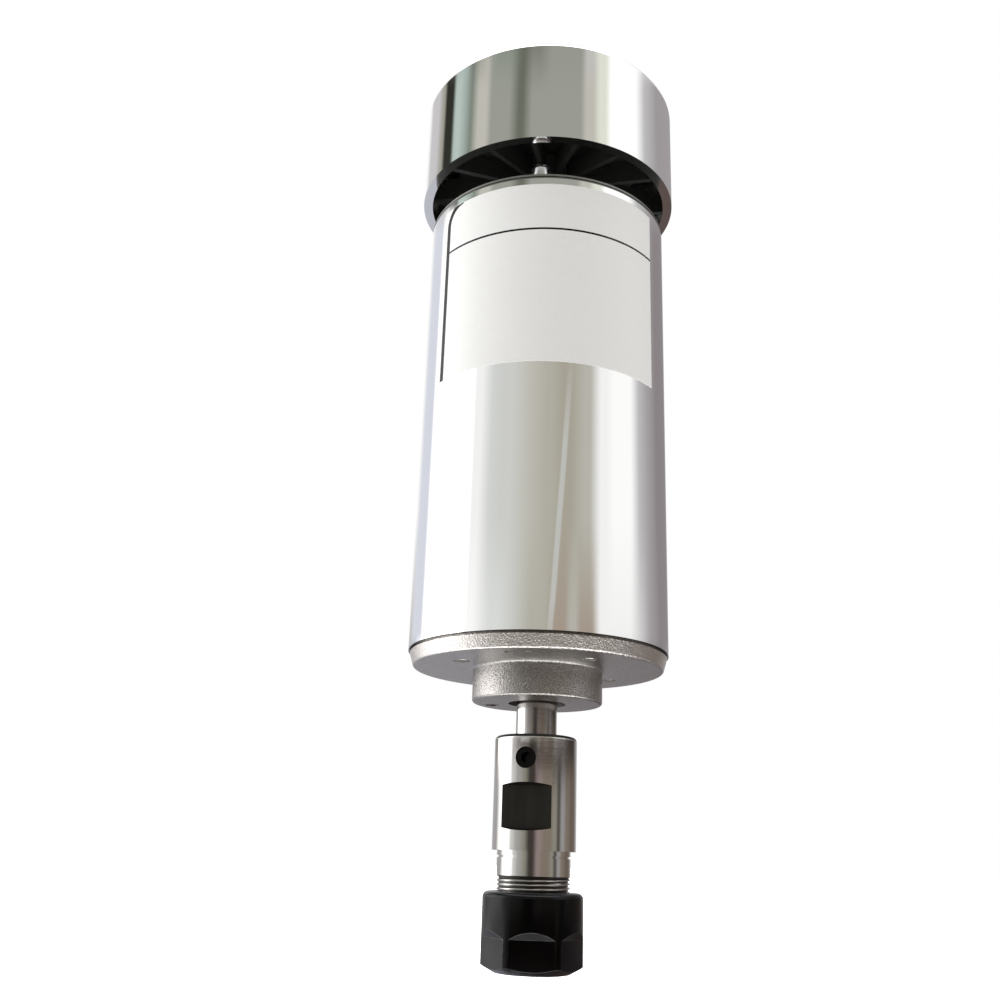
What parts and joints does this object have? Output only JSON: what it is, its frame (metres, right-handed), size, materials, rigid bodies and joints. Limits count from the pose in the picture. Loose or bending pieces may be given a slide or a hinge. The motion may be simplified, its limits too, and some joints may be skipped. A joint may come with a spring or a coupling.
{
  "type": "motor spindle",
  "caption": "Air-cooled brushed spindle motor: chromed round housing, cast front flange, ribbed fan guide under a chromed cover, and a collet arbor with clamping nut on the shaft.",
  "frame": {"origin": "centre of the motor tube's front edge, on the shaft's axis", "axes": "+Z along the shaft from the collet to the fan cover, so the chuck points down as in use; -Y through the rating plate's side"},
  "size_m": [0.0568, 0.0568, 0.1853],
  "materials": {
    "chrome": "polished chrome plate on drawn steel",
    "plate": "satin white printed film",
    "cast_aluminium": "as-cast, fine sand texture",
    "black_plastic": "moulded, fine grain",
    "bright_steel": "zinc plated or ground",
    "black_steel": "black oxide",
    "ground_steel": "ground",
    "lamination_steel": "stacked laminations, varnished",
    "ferrite": "sintered ferrite",
    "enamelled_copper": "enamelled wire, varnished",
    "copper": "turned copper",
    "brass": "stamped brass",
    "carbon": "pressed carbon",
    "brown_laminate": "phenolic laminate",
    "fibre": "pressed fibre"
  },
  "bodies": {
    "stator": {"motor_housing": "chrome", "rating_plate": "plate", "front_end_bell": "cast_aluminium", "rear_end_bell": "black_plastic", "through_bolts": "bright_steel", "magnet_left": "ferrite", "magnet_right": "ferrite", "preload_washer": "bright_steel", "brush_board": "brown_laminate", "board_screws": "bright_steel", "brush_box_left": "brass", "brush_box_right": "brass", "brush_spring_left": "bright_steel", "brush_spring_right": "bright_steel", "terminal_left": "brass", "terminal_right": "brass", "fan_guide": "black_plastic", "guide_screws": "black_steel", "fan_cover": "chrome", "cover_screws": "bright_steel", "front_bearing_outer_race": "bright_steel", "front_bearing_shields": "bright_steel", "rear_bearing_outer_race": "bright_steel", "rear_bearing_shields": "bright_steel"},
    "rotor": {"shaft": "ground_steel", "shaft_spacer": "ground_steel", "armature_core": "lamination_steel", "front_end_fibre": "fibre", "rear_end_fibre": "fibre", "armature_winding": "enamelled_copper", "commutator_hub": "brown_laminate", "commutator_bars": "copper", "fan": "black_plastic", "fan_nut": "bright_steel", "chuck_arbor": "ground_steel", "set_screws": "black_steel", "front_bearing_inner_race": "bright_steel", "rear_bearing_inner_race": "bright_steel"},
    "front_balls": {"front_bearing_cage": "bright_steel", "front_bearing_balls": "bright_steel"},
    "rear_balls": {"rear_bearing_cage": "bright_steel", "rear_bearing_balls": "bright_steel"},
    "brush_left": {"brush_left": "carbon"},
    "brush_right": {"brush_right": "carbon"},
    "collet": {"collet": "ground_steel"},
    "nut": {"clamping_nut": "black_steel"}
  },
  "joints": [
    {"name": "rotor_spin", "type": "hinge", "parent": "stator", "child": "rotor", "pos_m": [0, 0, 0], "axis": [0, 0, 1], "continuous": true},
    {"name": "front_balls_orbit", "type": "hinge", "parent": "stator", "child": "front_balls", "pos_m": [0, 0, 0], "axis": [0, 0, 1], "continuous": true},
    {"name": "rear_balls_orbit", "type": "hinge", "parent": "stator", "child": "rear_balls", "pos_m": [0, 0, 0], "axis": [0, 0, 1], "continuous": true},
    {"name": "brush_left_slide", "type": "slide", "parent": "stator", "child": "brush_left", "axis": [-1, 0, 0], "range_m": [0, 0.002], "stiffness_N_per_m": 300, "springref_m": -0.003, "deforming": ["brush_spring_left"]},
    {"name": "brush_right_slide", "type": "slide", "parent": "stator", "child": "brush_right", "axis": [1, 0, 0], "range_m": [0, 0.002], "stiffness_N_per_m": 300, "springref_m": -0.003, "deforming": ["brush_spring_right"]},
    {"name": "collet_slide", "type": "slide", "parent": "rotor", "child": "collet", "axis": [0, 0, -1], "range_m": [0, 0.00751]},
    {"name": "nut_turn", "type": "hinge", "parent": "collet", "child": "nut", "pos_m": [0, 0, -0.0515], "axis": [0, 0, -1], "range_deg": [0, 3600]}
  ],
  "couplings": [
    {"joint": "front_balls_orbit", "follows": "rotor_spin", "ratio": 0.368},
    {"joint": "rear_balls_orbit", "follows": "rotor_spin", "ratio": 0.36},
    {"joint": "collet_slide", "follows": "nut_turn", "m_per_rad": 0.00011937}
  ]
}
